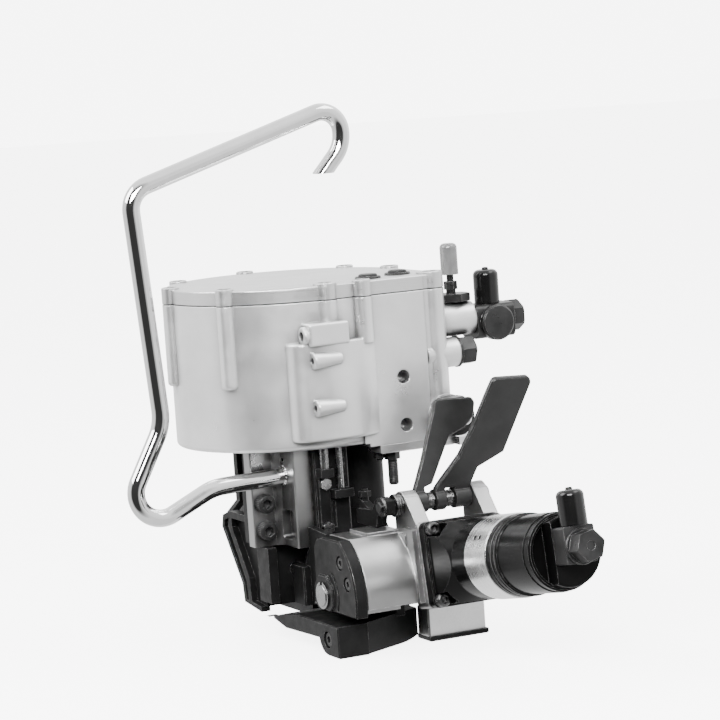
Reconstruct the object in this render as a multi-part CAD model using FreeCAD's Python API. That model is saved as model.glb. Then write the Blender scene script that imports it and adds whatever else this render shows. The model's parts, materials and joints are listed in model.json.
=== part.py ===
import FreeCAD, Part
import math
import os

# Combination hand tool for 32 mm steel strap, driven by compressed air. It tensions the strap with a
# feed wheel, crimps a seal round it with two jaws and cuts the tail off.
# Millimetres. +X runs along the strap towards the motor end, +Z is up, and -Y is the side where the
# strap is slipped in. Pieces are drawn about the axis of the big air cylinder, with z = 0 at the
# underside of the foot, and are moved at the end so that the origin is at the middle of the footprint.

V = FreeCAD.Vector

# ---------------------------------------------------------------- driving dimensions
# Air cylinder, standing on the sealer frame
CYL_R = 88.6
BORE_R = 78.0
CYL_BOTTOM = 143.5
BORE_FLOOR = 151.5
SEAM_Z = 250.8
GASKET_T = 0.8
COVER_TOP = 261.0
BOSS_TOP = 262.6
BOSS_R = 6.6
BOSS_LOW = 190.0
BOSS_RING = 87.8
BOSS_ANGLES = (-98.5, -54.5, -138.0, 176.0, 124.0)
FRONT_BOSSES = ((83.5, -7.2, 8.5), (88.0, 19.6, 6.6), (80.0, 79.0, 9.6))
BACK_BOSS = (-4.0, 88.5, 7.0)

# Valve block cast onto the cylinder
VALVE_X = 89.0
VALVE_Y = 88.5
VALVE_LOW = 141.0
GROOVE_Y = 68.5
BLOCK_STEP_Y = 18.0
BULGE_R = 26.0
BULGE_C = (70.0, -8.5)
BULGE_FRONT = (60.0, 36.5, -2.6)
BULGE_CORNER = (80.5, -27.0, 12.5)
BULGE_Z = (150.0, 221.0)
LUG_X = 95.5
LUG_END = -26.5
LUG_Z = (208.7, 174.7)
TOP_LUG = (90.0, -31.3, 226.4)
HOLE_Y = 48.0
HOLE_Z = (189.0, 154.0)
PORT = (70.0, 224.5)
PORT_LOW = (78.0, 201.4)
VALVE_SEAT = (82.0, 157.0)
PLUG_CENTRES = ((70.0, 34.0), (62.0, 62.0))

# Bracket that carries the bail
BRACKET_SCREW_Y = -47.4
BRACKET_SCREW_Z = (103.0, 83.0)

# Piston, rod and jaws
PISTON_Z = (224.0, 244.0)
ROD_R = 11.0
FIT = 0.05
JAW_PIN = (20.0, 50.0)

# Upright beside the bracket
STRIP_BOLT_Z = (117.0, 85.0)

# Strap path and foot
FOOT_TOP = 22.7
HOUSING_LOW = 28.0
PLATE_LOW = 31.5
DRUM_LOW = 36.5
FOOT_Y = (-38.0, 38.3)
FOOT_SCREW = (112.5, 11.5)
BLOCK_TOP = 24.8

# Tensioning unit, rocking about the pivot pin
PIVOT = (106.5, 42.6)
PIN_R = 8.0
PLATE_R = 49.0
PLATE_FACE = -34.0
SIDE_SCREWS = ((132.5, 68.5), (142.7, 54.7))
DRUM_R = 48.0
DRUM_Y = (-24.0, 15.0)
FEED = (70.0, 48.05)
WHEEL_R = 23.4
SHAFT_R = 8.0
MOTOR_FLANGE = V(157.9, 50.0, 62.6)
MOTOR_TILT = 9.4

# Bevel drive: pinion on the motor shaft, gear on the feed shaft, both cones meeting at one apex
PINION_TEETH = 12
GEAR_TEETH = 30
PINION_R = 8.0
GEAR_R = 20.0
INNER_SCALE = 0.7

# Hand levers, both on one pin
HINGE = (128.0, 103.0)
LEVER_PIN_R = 4.0
LEVER_T = 4.6
TENSION_LEAN = -6.6
RELEASE_LEAN = 19.4

# Bail (hook) of round bar, in one plane
BAIL_X = 47.0
BAIL_R = 6.35
BAIL_POINTS = (
    (-23.0, 123.0, 0.0), (-90.0, 120.6, 40.0), (-174.8, 81.0, 19.0), (-125.2, 171.0, 34.0),
    (-137.3, 337.0, 18.0), (31.3, 388.4, 15.5), (31.5, 357.0, 24.0), (12.0, 335.5, 0.0))

# Centre of the footprint in drawing coordinates
ORIGIN = V(124.7, 1.3, 0.0)


# ---------------------------------------------------------------- shape helpers
def box(x0, x1, y0, y1, z0, z1):
    return Part.makeBox(x1 - x0, y1 - y0, z1 - z0, V(x0, y0, z0))


def point(axis, u, v, w):
    """A point from the two coordinates across an axis (in X, Y, Z order) and the one along it."""
    return {"x": V(w, u, v), "y": V(u, w, v), "z": V(u, v, w)}[axis]


def direction(axis):
    return {"x": V(1, 0, 0), "y": V(0, 1, 0), "z": V(0, 0, 1)}[axis]


def rod(axis, radius, u, v, start, end):
    return Part.makeCylinder(radius, end - start, point(axis, u, v, start), direction(axis))


def cone(axis, r_start, r_end, u, v, start, end):
    return Part.makeCone(r_start, r_end, end - start, point(axis, u, v, start), direction(axis))


def tube(axis, outer, inner, u, v, start, end):
    return rod(axis, outer, u, v, start, end).cut(rod(axis, inner, u, v, start - 1, end + 1))


def prism(axis, points, start, end):
    corners = [point(axis, u, v, start) for u, v in points]
    face = Part.Face(Part.makePolygon(corners + corners[:1]))
    return face.extrude(direction(axis) * (end - start))


def regular(sides, across, turn=0.0):
    """Corners of a regular polygon, given its size across the flats."""
    radius = across / 2 / math.cos(math.pi / sides)
    angles = [math.radians(turn + 360.0 * i / sides) for i in range(sides)]
    return [(radius * math.cos(a), radius * math.sin(a)) for a in angles]


def hexagon(axis, across, u, v, start, end, turn=0.0):
    return prism(axis, [(u + a, v + b) for a, b in regular(6, across, turn)], start, end)


def hex_head(axis, across, u, v, start, end, turn=0.0):
    """A hexagon whose outer corners are turned off, as on a nut or a bolt head."""
    corner = across / math.sqrt(3)
    drop = 0.12 * across
    body = rod(axis, corner, u, v, start, end)
    top = cone(axis, corner + drop * 2.2, corner - 0.35 * drop, u, v, end - drop * 1.6, end)
    low = rod(axis, corner + 2, u, v, start, end - drop * 1.6)
    profile = low.fuse(top)
    return hexagon(axis, across, u, v, start, end, turn).common(profile).common(body)


def fuse(*shapes):
    solid = shapes[0].multiFuse(list(shapes[1:])) if len(shapes) > 1 else shapes[0]
    return solid.removeSplitter()


def cut(shape, *tools):
    for tool in tools:
        shape = shape.cut(tool)
    return shape


def soften(shape, radius, chosen):
    edges = [e for e in shape.Edges if chosen(e)]
    return shape.makeFillet(radius, edges)


def bevel(shape, size, chosen):
    edges = [e for e in shape.Edges if chosen(e)]
    return shape.makeChamfer(size, edges)


def parallel(axis, tolerance=1e-3):
    """Picks straight edges that run along an axis."""
    way = direction(axis)

    def chosen(edge):
        if not isinstance(edge.Curve, Part.Line):
            return False
        return abs(abs(edge.tangentAt(edge.FirstParameter).dot(way)) - 1) < tolerance
    return chosen


def lying(axis, value, tolerance=1e-3):
    """Picks edges that lie in the plane where one coordinate has a given value."""
    index = "xyz".index(axis)

    def chosen(edge):
        b = edge.BoundBox
        low = (b.XMin, b.YMin, b.ZMin)[index]
        high = (b.XMax, b.YMax, b.ZMax)[index]
        return abs(low - value) < tolerance and abs(high - value) < tolerance
    return chosen


def group(shapes):
    return Part.makeCompound(shapes)


def mirror_y(shape):
    return shape.mirror(V(0, 0, 0), V(0, 1, 0))


def on_motor(shape):
    """Moves a shape drawn along +X from the motor flange to its tilted place."""
    moved = shape.copy()
    turn = FreeCAD.Rotation(V(0, 1, 0), -MOTOR_TILT)
    moved.Placement = FreeCAD.Placement(MOTOR_FLANGE, turn).multiply(moved.Placement)
    return moved


def leaning(shape, lean):
    """Stands a lever drawn upright about the hinge line at its resting lean."""
    moved = shape.copy()
    turn = FreeCAD.Rotation(V(0, 1, 0), lean)
    moved.Placement = FreeCAD.Placement(V(HINGE[0], 0, HINGE[1]), turn).multiply(moved.Placement)
    return moved


def socket_screw(axis, u, v, seat, outward, size, shank, head_r=None, head_h=None):
    """Cap screw: round head standing outward from its seat, hexagon socket, plain shank."""
    head_r = head_r or 0.8 * size
    head_h = head_h or size
    sign = 1 if outward > 0 else -1
    top = seat + sign * head_h
    head = rod(axis, head_r, u, v, min(seat, top), max(seat, top))
    head = bevel(head, 0.08 * size, lying(axis, top))
    depth = top - sign * 0.55 * size
    head = head.cut(hexagon(axis, 0.82 * size, u, v, min(depth, top), max(depth, top)))
    inner = seat - sign * shank
    return fuse(head, rod(axis, size / 2, u, v, min(seat, inner), max(seat, inner)))


# ---------------------------------------------------------------- air cylinder
def boss_centres():
    """Every screw boss of the cylinder as x, y, radius."""
    round_wall = [(BOSS_RING * math.cos(math.radians(a)), BOSS_RING * math.sin(math.radians(a)), BOSS_R)
                  for a in BOSS_ANGLES]
    return round_wall + list(FRONT_BOSSES) + [BACK_BOSS]


def outline(z0, z1, inset=0.0):
    """Cylinder wall and valve block as one upright block, without the screw bosses."""
    x = VALVE_X - inset
    return fuse(
        rod("z", CYL_R - inset, 0, 0, z0, z1),
        box(0, x, 14 + inset, GROOVE_Y, z0, z1),
        box(0, x - 1.5, GROOVE_Y - 1, 79, z0, z1),
        box(0, 80, 60, VALVE_Y - inset, z0, z1))


def bulge():
    """Rounded swelling on the side of the valve block: two upright rounds with a flat between them."""
    x, y, radius = BULGE_CORNER
    big_x, big_y = BULGE_C
    gap = V(big_x - x, big_y - y, 0)
    angle = math.atan2(gap.y, gap.x) - math.acos((radius - BULGE_R) / gap.Length)
    out_x, out_y = math.cos(angle), math.sin(angle)
    hull = prism("z", [(x, y), (x + radius * out_x, y + radius * out_y),
                       (big_x + BULGE_R * out_x, big_y + BULGE_R * out_y), (big_x, big_y)], *BULGE_Z)
    front = rod("z", *BULGE_FRONT, *BULGE_Z).common(box(60, 100, -13, 27.5, *BULGE_Z))
    shape = fuse(rod("z", radius, x, y, *BULGE_Z), rod("z", BULGE_R, *BULGE_C, *BULGE_Z), hull, front)
    shape = soften(shape, 1.6, lying("z", BULGE_Z[1]))
    return soften(shape, 2.4, lying("z", BULGE_Z[0]))


def top_lug():
    """Square lug with softened edges and a round eye at its strap-side end."""
    x, y, z = TOP_LUG
    block = soften(box(78, 97.2, y + 3.4, 3.6, z - 7.8, z + 8.6), 1.8, lambda e: e.BoundBox.XMax > 97.1)
    return fuse(block, bevel(rod("y", 6.6, x, z, y, y + 6), 0.7, lying("y", y)))


def cylinder_body():
    top = SEAM_Z - GASKET_T
    wall = soften(rod("z", CYL_R, 0, 0, CYL_BOTTOM, top), 3.5, lying("z", CYL_BOTTOM))
    body = fuse(
        wall,
        box(0, VALVE_X, 14, GROOVE_Y, CYL_BOTTOM, top),
        box(0, VALVE_X, BLOCK_STEP_Y, GROOVE_Y, VALVE_LOW, top),
        box(0, VALVE_X - 1.5, GROOVE_Y - 1, 79, VALVE_LOW, top),
        box(0, 80, 60, VALVE_Y, VALVE_LOW, top))
    body = body.cut(box(-90, 48, -90, 90, VALVE_LOW - 1, CYL_BOTTOM))
    body = body.fuse(bulge().cut(rod("z", CYL_R - 4, 0, 0, 140, 260)))
    for x, y, radius in boss_centres()[:5]:
        boss = soften(rod("z", radius, x, y, BOSS_LOW, top), 3.0, lying("z", BOSS_LOW))
        body = body.fuse(boss)
    lows = (BULGE_Z[1] - 4, BULGE_Z[1] - 4, VALVE_LOW)
    for (x, y, radius), low in zip(FRONT_BOSSES, lows):
        body = body.fuse(rod("z", radius, x, y, low, top))
    x, y, radius = BACK_BOSS
    body = body.fuse(rod("z", radius, x, y, BOSS_LOW, top))
    for z in LUG_Z:
        lug = bevel(cone("y", 6.3, 4.0, LUG_X, z, LUG_END, -4.0), 0.7, lying("y", LUG_END))
        body = body.fuse(lug)
    body = body.fuse(top_lug())
    body = body.fuse(rod("y", 12.5, *PORT, 70, 115))
    body = body.fuse(rod("y", 11.0, *PORT_LOW, 70, 97))
    body = body.fuse(rod("x", 15.5, *VALVE_SEAT, 66, 90))
    tools = [rod("z", BORE_R, 0, 0, BORE_FLOOR, top + 1)]
    tools += [rod("z", 20, 0, 0, CYL_BOTTOM - 1, BORE_FLOOR + 1)]
    tools += [rod("z", 3.0, x, y, 228, top + 1) for x, y, radius in boss_centres()]
    tools += [rod("y", 2.4, LUG_X, z, LUG_END - 1, LUG_END + 15) for z in LUG_Z]
    tools += [rod("y", 3.4, TOP_LUG[0], TOP_LUG[2], TOP_LUG[1] - 1, TOP_LUG[1] + 22)]
    tools += [rod("x", 5.0, HOLE_Y, z, VALVE_X - 12.0, VALVE_X + 1) for z in HOLE_Z]
    tools += [rod("z", 5.2, 78, 40, VALVE_LOW - 1, VALVE_LOW + 5)]
    tools += [rod("y", 4.0, *PORT, 95, 116), rod("y", 4.0, *PORT_LOW, 90, 98)]
    tools += [rod("z", 4.0, PORT[0], 103.0, 230, 238)]
    return cut(body, *tools)


def cylinder_cover():
    cover = soften(outline(SEAM_Z, COVER_TOP), 1.2, lying("z", COVER_TOP))
    for x, y, radius in boss_centres():
        cover = cover.fuse(bevel(rod("z", radius, x, y, SEAM_Z, BOSS_TOP), 0.6, lying("z", BOSS_TOP)))
    spigot = rod("z", BORE_R - 0.3, 0, 0, SEAM_Z - 4.0, SEAM_Z)
    cover = cover.fuse(spigot).cut(rod("z", BORE_R - 6, 0, 0, SEAM_Z - 5, SEAM_Z + 2))
    for x, y, radius in boss_centres():
        cover = cover.cut(rod("z", 3.3, x, y, SEAM_Z - 1, BOSS_TOP + 1))
        cover = cover.cut(rod("z", 5.1, x, y, BOSS_TOP - 6.6, BOSS_TOP + 1))
    for x, y in PLUG_CENTRES:
        cover = cover.cut(rod("z", 7.0, x, y, COVER_TOP - 5, COVER_TOP + 1))
    return cover.removeSplitter()


def cover_gasket():
    sheet = outline(SEAM_Z - GASKET_T, SEAM_Z, 0.7)
    for x, y, radius in boss_centres():
        sheet = sheet.fuse(rod("z", radius - 0.7, x, y, SEAM_Z - GASKET_T, SEAM_Z))
    sheet = sheet.removeSplitter().cut(rod("z", BORE_R, 0, 0, SEAM_Z - 2, SEAM_Z + 1))
    for x, y, radius in boss_centres():
        sheet = sheet.cut(rod("z", 3.3, x, y, SEAM_Z - 2, SEAM_Z + 1))
    return sheet


def cover_screws():
    seat = BOSS_TOP - 6.6
    return group([socket_screw("z", x, y, seat, 1, 6.0, 24, 4.9, 6.0) for x, y, r in boss_centres()])


def cover_plugs():
    plugs = []
    for x, y in PLUG_CENTRES:
        flange = bevel(rod("z", 9.5, x, y, COVER_TOP, COVER_TOP + 1.6), 0.6, lying("z", COVER_TOP + 1.6))
        dome = rod("z", 7.0, x, y, COVER_TOP - 5, COVER_TOP + 3.4)
        dome = soften(dome, 1.6, lying("z", COVER_TOP + 3.4))
        slot = box(x - 8, x + 8, y - 0.9, y + 0.9, COVER_TOP + 1.6, COVER_TOP + 4)
        slot.rotate(V(x, y, 0), V(0, 0, 1), 50)
        plugs.append(fuse(flange, dome).cut(slot))
    return group(plugs)


def piston():
    low, high = PISTON_Z
    disc = rod("z", BORE_R - FIT, 0, 0, low, high)
    disc = bevel(disc, 1.5, lambda e: lying("z", low)(e) or lying("z", high)(e))
    disc = disc.cut(tube("z", BORE_R + 1, BORE_R - 5, 0, 0, low + 7, high - 7))
    disc = disc.cut(tube("z", BORE_R - 14, 20, 0, 0, low - 1, low + 8))
    return disc.cut(rod("z", ROD_R, 0, 0, low - 1, high + 1))


def piston_seal():
    low, high = PISTON_Z
    return tube("z", BORE_R - 0.02, BORE_R - 5, 0, 0, low + 7, high - 7)


def piston_rod():
    low, high = PISTON_Z
    shaft = rod("z", ROD_R, 0, 0, 112.0, high)
    return fuse(shaft, hexagon("z", 30.0, 0, 0, high, high + 5.5))


def rod_gland():
    bush = fuse(rod("z", 20.0, 0, 0, CYL_BOTTOM, BORE_FLOOR),
                rod("z", 25.0, 0, 0, BORE_FLOOR, BORE_FLOOR + 3))
    return bush.cut(rod("z", ROD_R + FIT, 0, 0, CYL_BOTTOM - 1, BORE_FLOOR + 4))


# ---------------------------------------------------------------- fittings on the valve block
def valve_bottom_plate():
    low = VALVE_LOW - 6.2
    plate = fuse(box(78, VALVE_X, 26, VALVE_Y - 2, low, VALVE_LOW), rod("z", 15.5, 73.5, 41, low, VALVE_LOW))
    plate = fuse(plate, box(62, 80, 44, VALVE_Y - 2, low, VALVE_LOW))
    plate = bevel(plate, 0.8, lying("z", low))
    return plate.cut(rod("z", 5.2, 78, 40, low - 1, VALVE_LOW + 1))


def adjuster_screw():
    low = VALVE_LOW - 6.2
    stem = fuse(rod("z", 5.2, 78, 40, low, VALVE_LOW + 5), hex_head("z", 10.0, 78, 40, low - 6, low),
                rod("z", 3.6, 78, 40, 110.0, low - 6))
    stem = bevel(stem, 0.9, lying("z", 110.0))
    side = fuse(hex_head("z", 8.0, 76, 31, low - 4.5, low), rod("z", 2.4, 76, 31, low - 6, low - 4.5))
    return group([stem, side])


def swivel_block():
    x, z = PORT
    block = box(x - 13, x + 13, 115, 146, z - 16, z + 9)
    block = soften(block, 5.0, parallel("y"))
    disc = bevel(rod("x", 13.2, 130.5, z - 4.5, x + 10, x + 17), 1.2, lying("x", x + 17))
    neck = rod("z", 8.2, x, 130.5, z + 8, z + 14)
    block = fuse(block, disc, neck)
    return block.cut(rod("y", 6.0, x, z, 114, 147))


def banjo_bolt():
    x, z = PORT
    head = hex_head("y", 20.0, x, z - 2, 147.5, 156.0, 30)
    washer = rod("y", 11.5, x, z - 2, 146.0, 147.5)
    return fuse(head, washer, rod("y", 4.0, x, z, 97.0, 147.0), rod("y", 6.0, x, z, 115.0, 146.5))


def dust_cap(axis, u, v, start, height, radius):
    """Soft push-on cap: straight skirt, domed end and the small nub left by moulding."""
    cap = soften(rod(axis, radius, u, v, start, start + height), 4.2, lying(axis, start + height))
    return fuse(cap, soften(rod(axis, 2.4, u, v, start + height - 2, start + height + 1.8), 1.2,
                            lying(axis, start + height + 1.8)))


def supply_cap():
    x, z = PORT
    cap = dust_cap("z", x, 130.5, z + 9.4, 24.5, 9.3)
    return cap.cut(rod("z", 8.2, x, 130.5, z + 8, z + 14))


def breather_fitting():
    x, y = 70.0, 103.0
    base = hex_head("z", 21.0, x, y, 237.6, 243.4)
    return fuse(base, rod("z", 4.0, x, y, 230.0, 237.6), rod("z", 3.6, x, y - 2.0, 243.4, 247),
                hex_head("z", 8.6, x, y - 2.0, 246.5, 252.5), rod("z", 2.6, x, y - 2.0, 252.5, 262))


def breather_cap():
    cap = soften(rod("z", 6.4, 70.0, 101.0, 257.5, 280.5), 3.4, lying("z", 280.5))
    return cap.cut(rod("z", 2.6, 70.0, 101.0, 257, 262))


def port_plug():
    x, z = PORT_LOW
    ring = rod("y", 11.6, x, z, 97.0, 98.6)
    return fuse(ring, hex_head("y", 19.0, x, z, 98.6, 110.5, 10), rod("y", 4.0, x, z, 91.0, 97.0))


def valve_body():
    y, z = VALVE_SEAT
    body = hexagon("x", 28.0, y, z, 90.0, 103.0).common(cone("x", 22.0, 14.4, y, z, 90.0, 103.0))
    body = fuse(body, rod("x", 10.0, y, z, 103.0, 105.5))
    return body.cut(rod("x", 5.0 + FIT, y, z, 91.5, 106))


def valve_stem():
    y, z = VALVE_SEAT
    stem = rod("x", 5.0, y, z, 98.0, 118.4)
    return soften(stem, 2.0, lying("x", 118.4))


def stop_plunger():
    """Ribbed spring plunger that stops the long lever, screwed into the side of the valve seat."""
    shape = rod("x", 3.2, 0, 0, -7.0, 47.0)
    for i in range(7):
        start = 6.0 + 3.0 * i
        ring = bevel(rod("x", 4.6, 0, 0, start, start + 1.8), 0.6, lying("x", start + 1.8))
        shape = shape.fuse(ring)
    shape = bevel(shape.removeSplitter(), 1.0, lying("x", 47.0))
    shape.rotate(V(0, 0, 0), V(0, 1, 0), -39.0)
    shape.translate(V(96.0, 101.3, 144.5))
    return fuse(shape, box(80.0, 96.0, 86.5, 106.0, 135.0, 140.9))


# ---------------------------------------------------------------- sealer
def cheek():
    """Side cheek of the sealer frame with its double rim."""
    rim = [(-20.5, 91), (-33, 87), (-35.8, 78), (-5, 38.5), (-3, 25), (40, 19.5), (46, 26), (46, 72), (26, 91)]
    plate = prism("y", rim, -50.0, -43.0)
    groove = [(-22, 86), (-30.5, 83.5), (-31.5, 78), (-0.5, 38), (1.5, 27), (5, 26.5), (3, 41), (-24, 79)]
    pocket = [(-17, 86), (-17.5, 79.5), (8.5, 44), (10, 26.5), (41, 23.5), (41, 71), (25, 86)]
    plate = plate.cut(prism("y", groove, -51.0, -47.0))
    return plate.cut(prism("y", pocket, -51.0, -45.0))


def plate_outline():
    return [(-36, 143.5), (-36, 96), (-44, 88), (-44, 24.7), (44, 24.7), (44, 88), (36, 96), (36, 143.5)]


def sealer_frame():
    frame = prism("x", plate_outline(), -38.0, 27.0)
    frame = frame.cut(box(-31.5, -21, -43, 43, 20, 137))
    frame = frame.cut(box(-9, 19, -43, 43, 20, 137))
    lower = [(-60, 20), (-5, 20), (-5, 38.5), (-35.8, 78), (-60, 78)]
    frame = frame.cut(prism("y", lower, -60, 60))
    frame = frame.cut(rod("z", 15, 0, 0, 60, 150))
    column = rod("z", 17, 31, 36, 91, CYL_BOTTOM)
    pad = box(19, 27, -55, -33, 73, 112)
    frame = fuse(frame, cheek(), mirror_y(cheek()), column, pad)
    frame = frame.cut(box(27, 67, -60, -20, 20, 144))
    frame = fuse(frame, box(27, 46, -50, -43, 30, 70.5))
    frame = frame.cut(box(43.5, 60, 38, 60, 10, 95))
    y, z = JAW_PIN
    for side in (-y, y):
        frame = frame.cut(rod("x", 5.0, side, z, -19, 27))
    for bolt_z in BRACKET_SCREW_Z:
        frame = frame.cut(rod("x", 4.0, BRACKET_SCREW_Y, bolt_z, 19, 28))
    return frame


def jaw_pins():
    y, z = JAW_PIN
    return group([rod("x", 5.0, side, z, -19, 27) for side in (-y, y)])


def jaw_left():
    """One crimping jaw: pivot in the middle, long arm up to the wedge, hooked tip at the strap."""
    y, z = JAW_PIN
    shape = [(-16.5, 25.0), (-19.0, 31.0), (-20.5, 38.0), (-14.0, 50.0), (-9.0, 60.0), (-4.2, 75.0),
             (-4.2, 78.0), (-10.0, 78.0), (-19.0, 66.0), (-28.0, 58.0), (-29.0, 42.0), (-27.0, 28.0),
             (-23.0, 25.0)]
    jaw = soften(prism("x", shape, -8.4, 11.5), 0.8, parallel("x"))
    return jaw.cut(rod("x", 5.0 + FIT, -y, z, -9, 19))


def jaw_right():
    return mirror_y(jaw_left())


def crosshead():
    """Carrier under the piston rod, with the wedge that spreads the jaws' upper arms."""
    block = bevel(box(-8.5, 18.5, -24, 24, 106, 118), 1.5, parallel("x"))
    wedge = prism("x", [(-4.5, 82), (4.5, 82), (8.8, 106), (-8.8, 106)], -8.4, 11.5)
    body = fuse(block, wedge)
    return body.cut(rod("z", ROD_R, 0, 0, 112, 119))


def cutter_blade():
    arm = box(12.5, 18.5, -14, 14, 54, 106)
    return fuse(arm, prism("y", [(12.5, 54), (18.5, 54), (18.5, 49)], -14, 14))


# ---------------------------------------------------------------- bracket, bail and upright
def bail_bracket():
    block = box(27, 66, -34, -20.5, 71, CYL_BOTTOM)
    flange = box(27, 38, -56, -33, 71, CYL_BOTTOM)
    web = prism("z", [(37, -33), (37, -40), (39.5, -37), (44, -33)], 71, CYL_BOTTOM)
    bracket = fuse(block, flange, web)
    bracket = soften(bracket, 1.2, lambda e: parallel("z")(e) and e.BoundBox.YMax < -33.5
                     and (e.BoundBox.XMin > 65 or e.BoundBox.YMax < -55.5))
    bracket = bracket.cut(soften(box(42, 60.5, -40, -28, 76, 98), 3.0, parallel("y")))
    bracket = bracket.cut(rod("y", 2.0, BAIL_X, 134.0, -35, -28))
    bracket = bracket.cut(rod("y", BAIL_R + 0.8, BAIL_X, 123.0, -45, -23.0))
    for z in BRACKET_SCREW_Z:
        bracket = bracket.cut(rod("x", 4.0, BRACKET_SCREW_Y, z, 26, 39))
    return bracket


def bracket_screws():
    y = BRACKET_SCREW_Y
    return group([socket_screw("x", y, z, 38.0, 1, 8.0, 19.0, 6.8, 8.0) for z in BRACKET_SCREW_Z])


def bail_path():
    """Straight runs joined by tangent arcs, in the plane X = BAIL_X."""
    spots = [V(BAIL_X, y, z) for y, z, radius in BAIL_POINTS]
    edges = []
    start = spots[0]
    for i in range(1, len(spots) - 1):
        corner = spots[i]
        before = (spots[i - 1] - corner).normalize()
        after = (spots[i + 1] - corner).normalize()
        half = before.getAngle(after) / 2
        radius = BAIL_POINTS[i][2]
        reach = radius / math.tan(half)
        middle = (before + after).normalize()
        first = corner + before * reach
        last = corner + after * reach
        centre = corner + middle * (radius / math.sin(half))
        edges.append(Part.LineSegment(start, first).toShape())
        edges.append(Part.Arc(first, centre - middle * radius, last).toShape())
        start = last
    edges.append(Part.LineSegment(start, spots[-1]).toShape())
    return Part.Wire(edges)


def bail():
    path = bail_path()
    section = Part.Wire(Part.makeCircle(BAIL_R, V(BAIL_X, BAIL_POINTS[0][0], BAIL_POINTS[0][1]), V(0, -1, 0)))
    bar = path.makePipeShell([section], True, False)
    end = box(BAIL_X - 10, BAIL_X + 10, -8, 30, 318, 338.5)
    return bar.cut(end)


def frame_upright():
    block = box(60, 72, -20.5, 7, 79, CYL_BOTTOM)
    block = bevel(block, 1.0, lambda e: parallel("z")(e) and e.BoundBox.XMin > 71)
    ledge = box(72, 81, -19, -9, 122, 128)
    step = box(72, 81, -9, 6, 106, 112)
    block = fuse(block, ledge, step)
    block = block.cut(box(71, 73, -8, -5, 84, 103))
    return cut(block, box(71, 73, 0, 4, 112, 140), rod("z", 3.4, 76.5, -14, 121, 129),
               rod("z", 2.7, 76.5, -2.5, 105, 113))


def wear_strip():
    strip = bevel(box(72, 75, -19, -10, 80, 121.5), 0.5, lying("x", 75))
    for z in STRIP_BOLT_Z:
        strip = strip.cut(rod("x", 1.9, -14.8, z, 71, 76))
    return strip


def upright_fasteners():
    """Two bright tie rods up to the cylinder and the two hexagon bolts of the wear strip."""
    pieces = [rod("z", 3.4, 76.5, -14, 122, CYL_BOTTOM), rod("z", 2.7, 76.5, -2.5, 106, CYL_BOTTOM)]
    for z in STRIP_BOLT_Z:
        pieces.append(fuse(hex_head("x", 8.0, -14.8, z, 75, 79.2, 30), rod("x", 1.9, -14.8, z, 72.0, 75.0)))
    return group(pieces)


# ---------------------------------------------------------------- side plate and foot
def side_plate():
    """Round plate that carries the pivot pin, with a thin arm back to the upright and a strap guide."""
    x, z = PIVOT
    low, face = PLATE_LOW, PLATE_FACE
    keep = prism("y", [(91, 76), (91, low), (170, low), (170, 84), (104, 84), (96, 82)], face, face + 9)
    plate = bevel(rod("y", PLATE_R, x, z, face, face + 9).common(keep), 1.0, lying("y", face))
    arm = prism("y", [(66.5, 86), (66.5, 70.5), (62.7, 66), (60, 57), (60, low), (95, low), (95, 84)],
                face + 8, -20.5)
    guide = bevel(box(47, 66, face + 2, face + 10, low - 3, 57), 1.0, parallel("z"))
    boss = prism("y", [(x + a, z + b) for a, b in regular(8, 29.0, 22.5)], face - 2, face + 1)
    boss = bevel(boss.common(box(60, 150, -40, -20, low + 0.5, 100)), 0.7, lying("y", face - 2))
    plate = fuse(plate, arm, guide, boss)
    ledge = tube("y", 22.5, 19.5, x, z, face - 1, face + 0.8).common(box(x + 6, x + 30, -40, -30, 33, 60))
    plate = cut(plate, ledge, rod("y", PIN_R, x, z, -40, -20))
    for sx, sz in SIDE_SCREWS:
        plate = cut(plate, rod("y", 5.4, sx, sz, face - 1, face + 5), rod("y", 2.5, sx, sz, face + 4, -25.5))
    return plate


def pivot_pin():
    pin = rod("y", PIN_R, *PIVOT, -38.0, 24.0)
    pin = bevel(pin, 0.8, lambda e: lying("y", -38.0)(e) or lying("y", 24.0)(e))
    groove = tube("y", PIN_R + 1, PIN_R - 0.7, *PIVOT, -37.4, PLATE_FACE - 2)
    return pin.cut(groove)


def snap_ring():
    x, z = PIVOT
    ring = tube("y", PIN_R + 1.7, PIN_R - 0.7, x, z, -37.3, -36.05)
    return ring.cut(box(x - 1.6, x + 1.6, -38, -35, z, z + 12))


def foot():
    """Base under the strap: round nose, long thin toe, anvil below the jaws, inner wall and pin lug."""
    y0, y1 = FOOT_Y
    px, pz = PIVOT
    nose = prism("y", [(98, 0), (130, 0), (130, FOOT_TOP), (98, FOOT_TOP)], y0, y1)
    nose = soften(nose, 14.0, lambda e: parallel("y")(e) and e.BoundBox.XMax < 99 and e.BoundBox.ZMax < 1)
    nose = nose.cut(prism("z", [(128.5, -14), (135, -14), (135, 50), (104, 50), (104, y1 - 1)], -1, 30))
    toe = prism("y", [(19.5, 15.5), (21, 13.5), (40, 9.5), (99, 11), (99, FOOT_TOP), (60, FOOT_TOP),
                      (42, 20.5)], y0, 40.0)
    toe = toe.cut(box(90, 100, y1, 41, 0, 30))
    wall = box(28, 114, 17.5, 24, FOOT_TOP - 2, 34)
    post = box(28, 41, 17.5, 40, 18, 60)
    lug = fuse(rod("y", 11.3, px, pz, 17.5, 24), box(px - 11.3, px + 10.3, 17.5, 24, 30, pz))
    anvil = box(-36, 30, -10, 40, 13, 21.5)
    shape = fuse(nose, toe, wall, post, lug, anvil)
    shape = bevel(shape, 0.8, lambda e: lying("y", y0)(e))
    return cut(shape, rod("y", PIN_R, px, pz, 0, 30), box(60, 80, -10, 10, 16, 30),
               rod("y", 6.2, *FOOT_SCREW, y0 - 1, y0 + 7), rod("y", 3.0, *FOOT_SCREW, y0, y0 + 24))


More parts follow.
